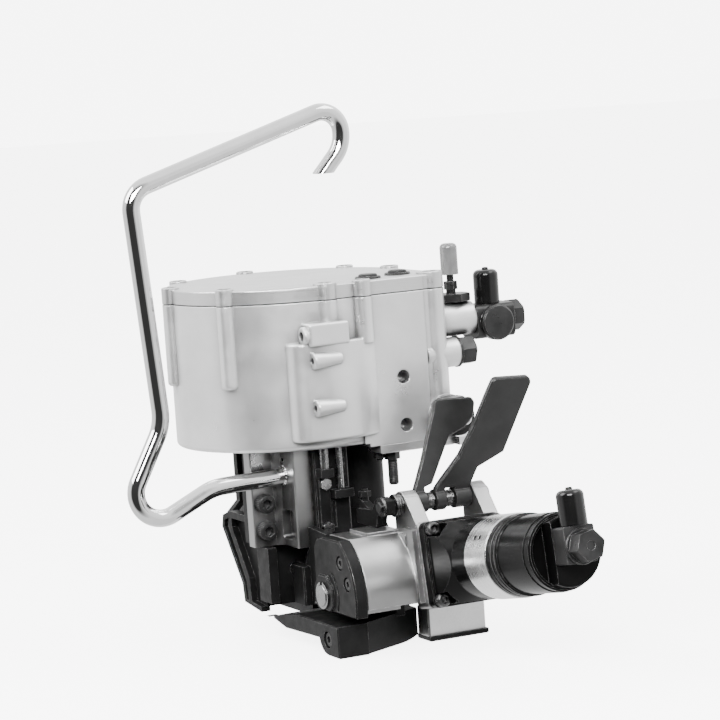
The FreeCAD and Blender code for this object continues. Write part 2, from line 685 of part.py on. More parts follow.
def socket_screws():
    """The two side plate screws and the foot screw, all set below their surfaces."""
    screws = [socket_screw("y", x, z, PLATE_FACE + 5, -1, 5.0, 3.5, 4.4, 4.4) for x, z in SIDE_SCREWS]
    screws.append(socket_screw("y", *FOOT_SCREW, FOOT_Y[0] + 7, -1, 6.0, 17.0, 5.2, 6.0))
    return group(screws)


def gripper_plug():
    plug = box(60, 80, -10, 10, 16, FOOT_TOP + 0.2)
    for i in range(9):
        x = 61.8 + 2.0 * i
        plug = plug.cut(box(x, x + 0.8, -11, 11, FOOT_TOP - 0.6, FOOT_TOP + 1))
    return plug


def rear_block():
    block = box(104, 122, FOOT_Y[1], 85, 3.6, BLOCK_TOP)
    return bevel(block, 1.2, lambda e: parallel("z")(e) or lying("z", BLOCK_TOP)(e))


def base_strip():
    strip = box(103.5, 123.5, FOOT_Y[1], 86, 0.0, 3.6)
    return bevel(strip, 0.8, lying("z", 0.0))


# ---------------------------------------------------------------- tensioning unit
def drum():
    x, z = PIVOT
    y0, y1 = DRUM_Y
    front = rod("y", DRUM_R, x, z, y0, y1).common(box(x + 18, 170, y0, y1, DRUM_LOW, 84))
    body = rod("y", DRUM_R, x, z, y0, y1).common(box(x - 8, x + 19, y0, y1, HOUSING_LOW, 84))
    nose = rod("y", 27.0, *FEED, y0 + 4, y1).common(box(30, x, y0, y1, HOUSING_LOW, 74))
    fill = box(FEED[0], x - 6, y0 + 4, y1, HOUSING_LOW, 74)
    ledge = box(x - 4, x + 24, -10, y1, 80, 86.5)
    return fuse(front, body, nose, fill, ledge)


def lever_lug(y0, y1):
    """Ear that carries one end of the lever pin."""
    hx, hz = HINGE
    arm = prism("y", [(hx - 9, hz), (hx - 9, 84), (hx + 14, 84), (151.5, 91), (hx + 8, hz + 6)], y0, y1)
    return fuse(arm, rod("y", 9.5, hx, hz, y0, y1))


def gear_housing():
    adaptor = box(-17, 0, -31, 31, -30.5, 30.5)
    adaptor = soften(adaptor, 4.0, parallel("x"))
    web = prism("y", [(112, 82), (121.5, 74.5), (133, 72.5), (145, 50), (136, 43.5), (134, DRUM_LOW),
                      (158, DRUM_LOW), (151, 88), (135, 88)], 15, 24)
    bridge = box(76, 122, 14, 30, 58, 72)
    link = box(119.5, 142, 14, 30, DRUM_LOW, 84)
    gearbox = fuse(rod("y", 25.0, *FEED, 27, 70), box(70, 116, 27, 70, HOUSING_LOW, 73.0))
    tunnel = on_motor(box(-60, -10, -20, 20, -22, 24))
    body = fuse(drum(), on_motor(adaptor), web, bridge, link, gearbox, tunnel,
                lever_lug(19, 30), lever_lug(74, 85))
    fx, fz = FEED
    tools = [
        rod("y", WHEEL_R + 1.6, fx, fz, -16.5, 16.5),
        box(fx - 20, fx + 20, -16.5, 16.5, HOUSING_LOW - 4, fz - 12),
        rod("y", SHAFT_R + FIT, fx, fz, -21.0, 40.0),
        rod("y", 22.8, fx, fz, 34.0, 62.0),
        rod("y", 20.0, fx, fz, 61.0, 71.0),
        rod("y", PIN_R + FIT, *PIVOT, -30.0, 16.0),
        rod("y", 12.2, *PIVOT, 14.5, 27.2),
        on_motor(rod("x", 10.8, 0, 0, -88, -17)),
        on_motor(rod("x", 6.0 + FIT, 0, 0, -18, 1)),
        rod("y", LEVER_PIN_R, *HINGE, 10, 90)]
    for sy in (-25.0, 25.0):
        for sz in (-25.0, 25.0):
            tools.append(on_motor(rod("x", 3.0, sy, sz, -14, 1)))
    body = cut(body, *tools)
    return max(body.Solids, key=lambda s: s.Volume)


def gearbox_cover():
    fx, fz = FEED
    cap = bevel(rod("y", 24.0, fx, fz, 70, 74), 0.8, lying("y", 74))
    cap = fuse(cap, rod("y", 20.0, fx, fz, 62, 70))
    heads = [rod("y", 2.8, fx + 19.0 * math.cos(a), fz + 19.0 * math.sin(a), 73.5, 76.5)
             for a in (0.8, 2.4, 3.9, 5.5)]
    return fuse(cap, *heads)


def release_cam():
    """Arm on the left end of the lever pin that lifts the feed wheel off the strap."""
    arm = prism("y", [(85, 87), (116, 87), (119, 96), (133, 97), (133, 108), (120, 109), (110, 99), (85, 98)],
                5, 13)
    arm = soften(arm, 1.5, parallel("y"))
    wedge = prism("y", [(88, 98), (106, 98), (88, 105.5)], 6, 12)
    screw = fuse(rod("z", 2.5, 92.0, 9.0, 99.0, 112.0), hex_head("z", 8.0, 92.0, 9.0, 106.5, 110.5))
    return cut(fuse(arm, wedge, screw), rod("y", LEVER_PIN_R, *HINGE, 0, 20))


def motor_housing():
    flange = soften(box(0, 8.5, -30.5, 30.5, -30.5, 30.5), 5.0, parallel("x"))
    flange = bevel(flange, 0.8, lying("x", 8.5))
    shoulder = soften(box(8.5, 40, -28.5, 28.5, -28.5, 28.5), 9.0, parallel("x"))
    shoulder = shoulder.common(cone("x", 38.5, 28.0, 0, 0, 8.5, 40))
    barrel = rod("x", 28.2, 0, 0, 8, 60)
    body = fuse(flange, shoulder, barrel)
    tools = [rod("x", 6.0 + FIT, 0, 0, -1, 22), rod("x", 22.0, 0, 0, 21.5, 61)]
    for sy in (-25.0, 25.0):
        for sz in (-25.0, 25.0):
            tools.append(rod("x", 3.2, sy, sz, -1, 10))
            tools.append(rod("x", 6.2, sy, sz, 8.5, 24))
    return on_motor(cut(body, *tools))


def flange_screws():
    return group([on_motor(socket_screw("x", sy, sz, 8.5, 1, 6.0, 20.0, 5.0, 6.0))
                  for sy in (-25.0, 25.0) for sz in (-25.0, 25.0)])


def motor_liner():
    liner = rod("x", 22.0, 0, 0, 21.5, 84.0).cut(rod("x", 19.0, 0, 1.2, 21, 85))
    return on_motor(liner)


def exhaust_band():
    """Bright sleeve with pairs of small outlet holes all round."""
    band = tube("x", 29.2, 22.0, 0, 0, 60, 91)
    band = bevel(band, 0.6, lambda e: e.BoundBox.YMax > 29 and (lying("x", 60)(e) or lying("x", 91)(e)))
    for i in range(7):
        angle = 57.0 - 30.0 * i
        for along in (72.0, 79.0):
            hole = rod("z", 1.9, along, 0, 26.0, 30.0)
            hole.rotate(V(0, 0, 0), V(1, 0, 0), angle)
            band = band.cut(hole)
    return on_motor(band)


def rear_barrel():
    body = fuse(rod("x", 28.4, 0, 0, 91, 105), rod("x", 27.0, 0, 0, 104, 142), rod("x", 22.0, 0, 0, 84, 91))
    body = body.cut(tube("x", 30, 26.6, 0, 0, 95.5, 98.0))
    body = body.cut(tube("x", 30, 26.6, 0, 0, 101.0, 103.0))
    body = bevel(body, 0.8, lambda e: lying("x", 142)(e) or lying("x", 105)(e) and e.BoundBox.YMax > 28)
    return on_motor(body.cut(rod("x", 5.0 + FIT, 0, 0, 83, 92)))


def motor_end_bell():
    ring = bevel(rod("x", 26.4, 0, 0, 142, 149), 1.2, lying("x", 149))
    ring = ring.cut(rod("x", 23.4, 0, 0, 145, 150))
    thick = soften(rod("x", 24.0, 0, 0, 144, 158), 2.0, lying("x", 158))
    thick = thick.common(box(140, 160, -12, 30, -30, 30))
    body = fuse(ring, thick)
    return on_motor(body.cut(rod("x", 6.0, 0, 2.5, 143, 160)))


def inlet_block():
    block = soften(box(158, 173, -11.5, 11.5, -8.5, 16.5), 1.5, parallel("x"))
    neck = rod("z", 8.0, 167.7, 0, 16, 21)
    return on_motor(fuse(block, neck).cut(rod("x", 6.0, 0, 2.5, 157, 174)))


def inlet_cap():
    cap = dust_cap("z", 167.7, 0, 16.9, 23.5, 9.3)
    return on_motor(cap.cut(rod("z", 8.0, 167.7, 0, 16, 21)))


def inlet_bolt():
    washer = bevel(rod("x", 12.2, 0, 2.5, 173, 175.4), 0.5, lying("x", 175.4))
    head = hex_head("x", 19.0, 0, 2.5, 175.4, 187.0, 12)
    head = head.cut(rod("x", 3.2, 0, 2.5, 186.4, 188))
    return on_motor(fuse(washer, head, rod("x", 6.0, 0, 2.5, 146, 174)))


def lever_pin():
    hx, hz = HINGE
    pin = rod("y", LEVER_PIN_R, hx, hz, 1.5, 87.5)
    washers = [bevel(rod("y", radius, hx, hz, y, y + 1.7), 0.4, lying("y", y))
               for radius, y in ((7.0, 3.3), (8.2, 13.1), (8.2, 15.1), (8.2, 17.1))]
    head = bevel(rod("y", 6.0, hx, hz, 85.0, 88.5), 0.6, lying("y", 88.5))
    head = head.cut(hexagon("y", 5.0, hx, hz, 86.5, 89))
    return fuse(pin.cut(rod("y", 5.0, hx, hz, 85.0, 88)), *washers, head)


def lever_springs():
    return group([tube("y", 6.7, 4.4, *HINGE, y0, y1) for y0, y1 in ((39.2, 44.8), (53.7, 60.3))])


def bevel_toothing(teeth, tip_r, root_r):
    """Outline of a bevel gear at its outer end as radius and angle about its own axis."""
    points = []
    step = 2 * math.pi / teeth
    for i in range(teeth):
        for part, radius in ((-0.30, root_r), (-0.11, tip_r), (0.11, tip_r), (0.30, root_r)):
            points.append((radius, (i + part) * step))
    return points


def bevel_solid(teeth, tip_r, root_r, distance, phase):
    """Toothed cone drawn along +X with its apex at the origin, outer end at X = distance."""
    wires = []
    for scale in (1.0, INNER_SCALE):
        corners = []
        for radius, angle in bevel_toothing(teeth, tip_r, root_r):
            a = angle + phase
            corners.append(V(distance * scale, radius * scale * math.cos(a), radius * scale * math.sin(a)))
        wires.append(Part.makePolygon(corners + corners[:1]))
    return Part.makeLoft(wires, True, True)


def drive_axis_x():
    """Distance from the motor flange back to the point where the two shaft axes meet."""
    return -(MOTOR_FLANGE.x - FEED[0]) / math.cos(math.radians(MOTOR_TILT))


def motor_rotor():
    apex = drive_axis_x()
    pinion = bevel_solid(PINION_TEETH, 8.9, 7.0, GEAR_R, math.pi)
    pinion.translate(V(apex, 0, 0))
    back = apex + GEAR_R
    shaft = fuse(rod("x", 6.0, 0, 0, back - 1, 22), rod("x", 17.6, 0, 0, 22, 82), rod("x", 5.0, 0, 0, 82, 90))
    collar = cone("x", 7.0, 9.0, 0, 0, back, back + 4)
    body = fuse(shaft, pinion, collar)
    for i in range(5):
        slot = box(21, 83, -0.9, 0.9, 9.0, 18.0)
        slot.rotate(V(0, 0, 0), V(1, 0, 0), 72.0 * i)
        body = body.cut(slot)
    return on_motor(body)


def rotor_vanes():
    vanes = []
    for i in range(5):
        vane = box(22, 82, -0.85, 0.85, 9.4, 17.5)
        vane.rotate(V(0, 0, 0), V(1, 0, 0), 72.0 * i)
        vanes.append(on_motor(vane))
    return group(vanes)


def feed_wheel():
    """Hardened wheel with fine gripping teeth across its rim."""
    fx, fz = FEED
    corners = []
    teeth = 48
    for i in range(teeth):
        for part, radius in ((0.0, WHEEL_R), (0.5, WHEEL_R - 1.1)):
            angle = 2 * math.pi * (i + part) / teeth
            corners.append((fx + radius * math.cos(angle), fz + radius * math.sin(angle)))
    wheel = prism("y", corners, -14.0, 14.0)
    return wheel.cut(rod("y", SHAFT_R, fx, fz, -15, 15))


def feed_shaft():
    """Shaft of the feed wheel with the bevel gear on its end; a tooth gap faces the pinion at rest."""
    fx, fz = FEED
    phase = math.radians(MOTOR_TILT) + math.pi / GEAR_TEETH
    gear = bevel_solid(GEAR_TEETH, 21.8, 17.4, PINION_R, 0.0)
    gear = gear.fuse(rod("x", 15.0, 0, 0, PINION_R, PINION_R + 5.5)).removeSplitter()
    gear.rotate(V(0, 0, 0), V(0, 0, 1), -90)
    gear.rotate(V(0, 0, 0), V(0, 1, 0), -math.degrees(phase))
    gear.translate(V(fx, MOTOR_FLANGE.y, fz))
    shaft = bevel(rod("y", SHAFT_R, fx, fz, -19.5, 44.0), 0.8, lying("y", -19.5))
    return fuse(gear.cut(rod("y", 30, fx, fz, 44.0, 60)), shaft)


# ---------------------------------------------------------------- hand levers
def lever(points, barrels, gaps, lean):
    plate = prism("x", points, -LEVER_T / 2, LEVER_T / 2)
    for y0, y1 in gaps:
        plate = plate.cut(box(-5, 5, y0, y1, -10, 9.5))
    plate = soften(plate, 4.0, lambda e: parallel("x")(e) and e.BoundBox.ZMin > 60)
    plate = bevel(plate, 0.9, lambda e: (lying("x", -LEVER_T / 2)(e) or lying("x", LEVER_T / 2)(e))
                  and e.BoundBox.ZMin > 12)
    shape = fuse(plate, *[rod("y", 7.6, 0, 0, y0, y1) for y0, y1 in barrels])
    for y0, y1 in barrels:
        shape = shape.cut(rod("y", LEVER_PIN_R + FIT, 0, 0, y0 - 1, y1 + 1))
    return leaning(shape, lean)


def tension_lever():
    points = [(31, 0), (31, 10), (39.7, 29.5), (44.6, 42.6), (52.5, 62.5), (55, 71.5), (85, 70),
              (87.2, 65.8), (84.8, 56), (77, 48.8), (62.5, 43.3), (45, 12), (38.6, 10), (38.6, 0)]
    return lever(points, [(31, 38.6)], [], TENSION_LEAN)


def release_lever():
    points = [(45.6, 0), (45.6, 10), (49.5, 16), (62, 33.5), (71, 55), (80, 82), (83.5, 91.5),
              (112.5, 89.8), (114.8, 85), (98.4, 32.3), (77.5, 22), (73.4, 10), (73.4, 0)]
    return lever(points, [(45.6, 53.1), (61, 73.4)], [(53.1, 61)], RELEASE_LEAN)


# ---------------------------------------------------------------- all nodes
NODES = (
    cylinder_body, cylinder_cover, cover_gasket, cover_screws, cover_plugs, rod_gland,
    valve_bottom_plate, adjuster_screw, swivel_block, banjo_bolt, supply_cap, breather_fitting,
    breather_cap, port_plug, valve_body, stop_plunger, sealer_frame, jaw_pins, bail_bracket,
    bracket_screws, bail, frame_upright, wear_strip, upright_fasteners, side_plate, pivot_pin,
    snap_ring, foot, socket_screws, gripper_plug, rear_block, base_strip,
    piston, piston_seal, piston_rod, crosshead, cutter_blade, jaw_left, jaw_right,
    gear_housing, gearbox_cover, release_cam, motor_housing, flange_screws, motor_liner,
    exhaust_band, rear_barrel, motor_end_bell, inlet_block, inlet_cap, inlet_bolt, lever_pin,
    lever_springs, motor_rotor, rotor_vanes, feed_shaft, feed_wheel,
    tension_lever, release_lever, valve_stem)


def build():
    """Every node by name, in its final place."""
    shapes = {}
    for make in NODES:
        shape = make()
        shape.translate(ORIGIN * -1)
        shapes[make.__name__] = shape
    return shapes


if __name__ == "__main__":
    os.makedirs("parts", exist_ok=True)
    for name, shape in build().items():
        shape.exportStep("parts/" + name + ".step")
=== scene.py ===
import bmesh
import bpy
import json
import math
import random
from mathutils import Matrix, Vector


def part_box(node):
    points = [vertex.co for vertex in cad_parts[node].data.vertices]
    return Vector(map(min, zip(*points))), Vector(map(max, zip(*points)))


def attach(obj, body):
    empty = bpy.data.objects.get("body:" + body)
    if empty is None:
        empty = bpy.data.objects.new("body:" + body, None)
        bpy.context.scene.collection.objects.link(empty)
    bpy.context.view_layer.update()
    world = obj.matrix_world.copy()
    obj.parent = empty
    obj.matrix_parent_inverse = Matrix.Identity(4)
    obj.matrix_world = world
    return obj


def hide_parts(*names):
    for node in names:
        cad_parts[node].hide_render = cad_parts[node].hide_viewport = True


# Looks of a compressed-air strapping tool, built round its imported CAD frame. Everything is in metres,
# in the row frame: +X along the strap towards the motor, +Z up, -Y the side the strap goes in.
# An azimuth of 0 looks from -Y and one of 90 from +X.

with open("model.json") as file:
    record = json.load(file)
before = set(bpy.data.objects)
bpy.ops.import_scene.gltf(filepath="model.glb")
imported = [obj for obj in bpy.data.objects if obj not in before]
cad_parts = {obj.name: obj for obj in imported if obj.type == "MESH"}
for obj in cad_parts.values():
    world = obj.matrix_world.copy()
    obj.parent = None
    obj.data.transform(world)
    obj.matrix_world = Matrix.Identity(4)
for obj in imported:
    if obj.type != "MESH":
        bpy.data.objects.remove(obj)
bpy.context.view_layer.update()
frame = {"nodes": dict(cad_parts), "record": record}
NODES = frame["nodes"]
JOINTS = {joint["name"]: joint for joint in frame["record"]["behaviour"]["joints"]}
MM = 0.001

# ---------------------------------------------------------------- settings of camera and studio
CAMERA_AT = Vector((1.8948, -0.9163, 0.4322))
CAMERA_AZIMUTH = 64.3
CAMERA_ELEVATION = 6.06
CAMERA_ROLL = 3.96
LENS = 150.0
SENSOR_WIDTH = 36.0

# The world's strength near the floor and overhead, and its factors at the dark end and opposite it.
LOW_LIGHT = 1.1
HIGH_LIGHT = 1.7
DARK_END = 0.04
BACK_LIGHT = 1.5
DARK_END_AZIMUTH = CAMERA_AZIMUTH - 16
DARK_END_ELEVATION = 6
# Cosines of the angle from the dark end between which its factor and the opposite one come in, and
# sines of the elevation between which the strength rises.
DARK_FADE = (0.5, 0.74)
BACK_FADE = (-0.15, -0.75)
RISE_SPAN = (-0.3, 0.75)

# Floor and backdrop: their sizes in metres, how strongly they glow and their tones.
FLOOR_RADIUS = 14.0
WALL_RADIUS = 13.9
WALL_HEIGHT = 16.0
WALL_MIDDLE = 7.9
STAGE_SEGMENTS = 96
PAPER_GLOW = 5.0
WALL_GLOW = 6.8
PAPER_TONE = 0.95
WALL_TONE = 0.5

# Name, azimuth, elevation, distance, (width, height), power in watts.
LIGHTS = (("key", -15, 38, 2.4, (1.5, 1.5), 62),
          ("front", 62, 29, 2.4, (1.6, 0.9), 120),
          ("fill", 150, 55, 2.6, (1.6, 1.0), 26))
LIGHTS_AIM = Vector((0, 0, 0.2))

# ---------------------------------------------------------------- settings of the finishes
EDGE_SAMPLES = 4
GLOSS_SCALE = 2.7       # scale of the gloss patches, as a multiple of the tone patches
BRUSH_SHADE = 0.72      # tone in the brush lines, as a part of the metal's tone
BRUSH_AMOUNT = 0.35
WEAR_SCALE = 220.0
COAT_ROUGHNESS = 0.06

MOTOR_AXIS = JOINTS["motor_spin"]["axis"]
MOTOR_TILT = math.degrees(math.atan2(MOTOR_AXIS[2], MOTOR_AXIS[0]))

# One finish per material slot of the record, and spring_wire, a darker finish for bright_steel springs.
# See surface() for the meaning of each value.
# The tone each finish takes in its corners is painted shade: ambient occlusion darkens the corners
# towards it.
FINISHES = {
    "cast_aluminium": dict(tone=0.96, other_tone=0.78, roughness=0.34, metallic=0.8, patch=14,
                           grain=(700, 0.06), rounding=1.3, corner_shade=(10, 0.16), swing=0.1),
    "cover_aluminium": dict(tone=0.78, other_tone=0.7, roughness=0.36, metallic=0.9, patch=25,
                            brush=((1, 1, 60), (0, 0, 0), 18.0, 0.03, 0.08), rounding=0.6,
                            corner_shade=(6, 0.35)),
    "housing_aluminium": dict(tone=0.36, other_tone=0.28, roughness=0.34, metallic=0.95, patch=22,
                              grain=(700, 0.04), worn=(0.95, 1.0, 0.9), rounding=1.2,
                              corner_shade=(8, 0.3)),
    "block_aluminium": dict(tone=0.8, other_tone=0.74, roughness=0.36, metallic=1.0, patch=30,
                            brush=((1, 60, 60), (0, 0, 0), 9.0, 0.02, 0.08), corner_shade=(5, 0.35)),
    "gasket": dict(tone=0.05, other_tone=0.08, roughness=0.7, patch=60, grain=(1200, 0.05)),
    "screw_steel": dict(tone=0.14, other_tone=0.09, roughness=0.3, metallic=1.0, patch=90,
                        grain=(1500, 0.02), rounding=0.3, corner_shade=(3, 0.05)),
    "dark_plug": dict(tone=0.015, other_tone=0.03, roughness=0.36, metallic=0.3, patch=90,
                      grain=(1200, 0.02), worn=(0.4, 0.4, 0.6), rounding=0.3, shine=0.3),
    "bronze": dict(tone=0.5, other_tone=0.42, roughness=0.35, metallic=1.0),
    "fitting_steel": dict(tone=0.02, other_tone=0.045, roughness=0.32, metallic=0.6, patch=70,
                          grain=(900, 0.02), worn=(0.6, 0.4, 0.6), rounding=0.4, corner_shade=(4, 0.01),
                          shine=0.35),
    "black_cap": dict(tone=0.004, other_tone=0.008, roughness=0.15, patch=60, grain=(300, 0.05),
                      coat=0.35, rounding=0.6, swing=0.04, shine=0.2),
    "grey_cap": dict(tone=0.13, other_tone=0.19, roughness=0.16, patch=80, grain=(300, 0.05),
                     rounding=0.5, coat=0.6, swing=0.04),
    "chrome": dict(tone=0.9, other_tone=0.82, roughness=0.06, metallic=1.0, patch=60,
                   grain=(160, 0.02), rounding=0.2, swing=0.03),
    "frame_black": dict(tone=0.006, other_tone=0.014, roughness=0.42, metallic=0.1, patch=45,
                        grain=(650, 0.08), worn=(0.4, 0.5, 0.5), rounding=0.6, swing=0.12,
                        shine=0.1),
    "plate_black": dict(tone=0.006, other_tone=0.014, roughness=0.4, metallic=0.1, patch=45,
                        grain=(800, 0.04), worn=(0.4, 0.5, 0.5), rounding=0.5, swing=0.12,
                        shine=0.1),
    "bracket_steel": dict(tone=0.38, other_tone=0.3, roughness=0.36, metallic=1.0, patch=30,
                          brush=((90, 1, 1), (0, 0, 0), 12.0, 0.02, 0.08), worn=(0.85, 0.7, 0.9),
                          rounding=0.6, corner_shade=(7, 0.1)),
    "bright_steel": dict(tone=0.36, other_tone=0.26, roughness=0.26, metallic=1.0, patch=80,
                         grain=(900, 0.015), rounding=0.3, corner_shade=(3, 0.08)),
    "spring_wire": dict(tone=0.2, other_tone=0.14, roughness=0.28, metallic=1.0, patch=300,
                        rounding=0.1),
    "tool_steel": dict(tone=0.3, other_tone=0.22, roughness=0.3, metallic=1.0, patch=80,
                       worn=(0.7, 0.4, 0.7), rounding=0.3),
    "piston_aluminium": dict(tone=0.75, other_tone=0.7, roughness=0.3, metallic=1.0, patch=30),
    "vane_plastic": dict(tone=0.2, other_tone=0.28, roughness=0.5, patch=50),
    "motor_black": dict(tone=0.002, other_tone=0.004, roughness=0.2, patch=35,
                        grain=(500, 0.012), worn=(0.5, 0.5, 0.35), rounding=0.8, swing=0.06,
                        shine=0.07),
    "inlet_grey": dict(tone=0.022, other_tone=0.04, roughness=0.4, metallic=0.5, patch=60,
                       grain=(700, 0.03), worn=(0.5, 0.6, 0.5), rounding=0.8),
    "band_steel": dict(tone=0.9, other_tone=0.8, roughness=0.26, metallic=1.0, patch=40,
                       brush=((90, 1, 1), (0, MOTOR_TILT, 0), 14.0, 0.01, 0.04), rounding=0.4,
                       corner_shade=(4, 0.3), swing=0.04),
    "lever_black": dict(tone=0.012, other_tone=0.022, roughness=0.38, metallic=0.2, patch=40,
                        grain=(600, 0.03), worn=(0.35, 0.6, 0.5), rounding=1.0, swing=0.1),
}

# ---------------------------------------------------------------- settings of the finer pieces, in mm
# CAD node, axis, head radius, head height, width across the socket's flats, body, slot.
SCREWS = (("flange_screws", MOTOR_AXIS, 5.0, 6.0, 5.0, "tensioner", "screw_steel"),
          ("bracket_screws", (1, 0, 0), 6.8, 8.0, 6.4, "frame", "dark_plug"))
KNURLS = 30
STEPS_PER_KNURL = 4
KNURL_DEPTH = 0.22
RIM_DEPTH = 0.3         # points this near the head's top give its centre
SOCKET_DEPTH = 0.55     # as a part of the head's height

SPRING_WIDTHS = (5.6, 6.6)
SPRING_RADIUS = 5.7
SPRING_TURNS = 4.25
SPRING_INSET = 0.8
SPRING_WIRE = 0.62
SPRING_LEG = Vector((5.0, 0.0, -1.5))

THREAD_RADIUS = 3.62
THREAD_WIRE = 0.33
THREAD_SPAN = (1.4, 16.5)
THREAD_TURNS = 13

SEALS_ALONG = (96.75, 102.0)
SEAL_RADIUS = 27.3
SEAL_WIRE = 0.85

WELD_AT = Vector((-77.7, -35.6, 123.2))
WELD_RADIUS = 6.9
WELD_SIZE = 1.35
WELD_SIDE = 3.9         # angle, in radians, of the bead's heavy side
WELD_WAVES = (5, 9, 14, 23)
WELD_PARTS = (0.55, 0.75, 0.28)     # even part, heavy side and waves, as parts of WELD_SIZE


# ---------------------------------------------------------------- camera
def look(azimuth, elevation):
    """Unit vector from the object towards a viewer at that azimuth and elevation."""
    a, e = math.radians(azimuth), math.radians(elevation)
    return Vector((math.sin(a) * math.cos(e), -math.cos(a) * math.cos(e), math.sin(e)))


def link(name, data):
    obj = bpy.data.objects.new(name, data)
    bpy.context.collection.objects.link(obj)
    return obj


def make_camera():
    data = bpy.data.cameras.new("camera")
    data.lens = LENS
    data.sensor_width = SENSOR_WIDTH
    data.clip_start, data.clip_end = 0.05, 100.0
    camera = link("camera", data)
    back = look(CAMERA_AZIMUTH, CAMERA_ELEVATION)
    turn = back.to_track_quat("Z", "Y").to_matrix()
    roll = Matrix.Rotation(math.radians(-CAMERA_ROLL), 3, "Z")
    camera.matrix_world = Matrix.Translation(CAMERA_AT) @ (turn @ roll).to_4x4()
    bpy.context.scene.camera = camera


# ---------------------------------------------------------------- building blocks of materials
def new_material(name):
    material = bpy.data.materials.new(name)
    material.use_nodes = True
    tree = material.node_tree
    return material, tree, tree.nodes["Principled BSDF"]


def node(tree, kind, inputs=(), **settings):
    """One shader node; inputs are (socket, number, colour or another node's output)."""
    made = tree.nodes.new("ShaderNode" + kind)
    for key, value in settings.items():
        setattr(made, key, value)
    for key, value in inputs:
        if isinstance(value, bpy.types.NodeSocket):
            tree.links.new(value, made.inputs[key])
        else:
            made.inputs[key].default_value = value
    return made


def placed(tree, stretch=(1, 1, 1), turn=(0, 0, 0)):
    """Object coordinates, turned by degrees and then stretched."""
    start = node(tree, "TexCoord").outputs["Object"]
    angles = [math.radians(a) for a in turn]
    turned = node(tree, "Mapping", [("Vector", start), ("Rotation", angles)])
    return node(tree, "Mapping", [("Vector", turned.outputs[0]), ("Scale", stretch)]).outputs[0]


def noise(tree, scale, where=None, detail=3.0, rough=0.5):
    where = where or placed(tree)
    values = [("Vector", where), ("Scale", scale), ("Detail", detail), ("Roughness", rough)]
    return node(tree, "TexNoise", values).outputs[0]


def remap(tree, value, low, high, to_low, to_high):
    values = [("Value", value), ("From Min", low), ("From Max", high),
              ("To Min", to_low), ("To Max", to_high)]
    return node(tree, "MapRange", values).outputs[0]


def times(tree, a, b):
    return node(tree, "Math", [(0, a), (1, b)], operation="MULTIPLY").outputs[0]


def dot(tree, a, b):
    return node(tree, "VectorMath", [(0, a), (1, b)], operation="DOT_PRODUCT").outputs["Value"]


def grey(value):
    return (value, value, value, 1)


def blend_colour(tree, factor, a, b):
    return node(tree, "Mix", [(0, factor), (6, a), (7, b)], data_type="RGBA").outputs[2]


def rounded_normal(tree, radius):
    return node(tree, "Bevel", [("Radius", radius * MM)], samples=EDGE_SAMPLES).outputs[0]


def bump(tree, height, depth, normal):
    """The normal with a height field of this depth in mm over it."""
    values = [("Height", height), ("Distance", depth * MM), ("Strength", 1.0), ("Normal", normal)]
    return node(tree, "Bump", values).outputs[0]


def edge_mask(tree, radius):
    """1 along convex and concave edges, 0 on open faces."""
    plain = node(tree, "NewGeometry").outputs["Normal"]
    return remap(tree, dot(tree, rounded_normal(tree, radius), plain), 0.995, 0.9, 0.0, 1.0)


def corner_occlusion(tree, reach):
    """Ambient occlusion mask for painted shade: 1 in the open, falling to 0 deep in corners."""
    values = [("Distance", reach * MM)]
    shade = node(tree, "AmbientOcclusion", values, samples=EDGE_SAMPLES).outputs["AO"]
    return remap(tree, shade, 0.35, 0.95, 0.0, 1.0)


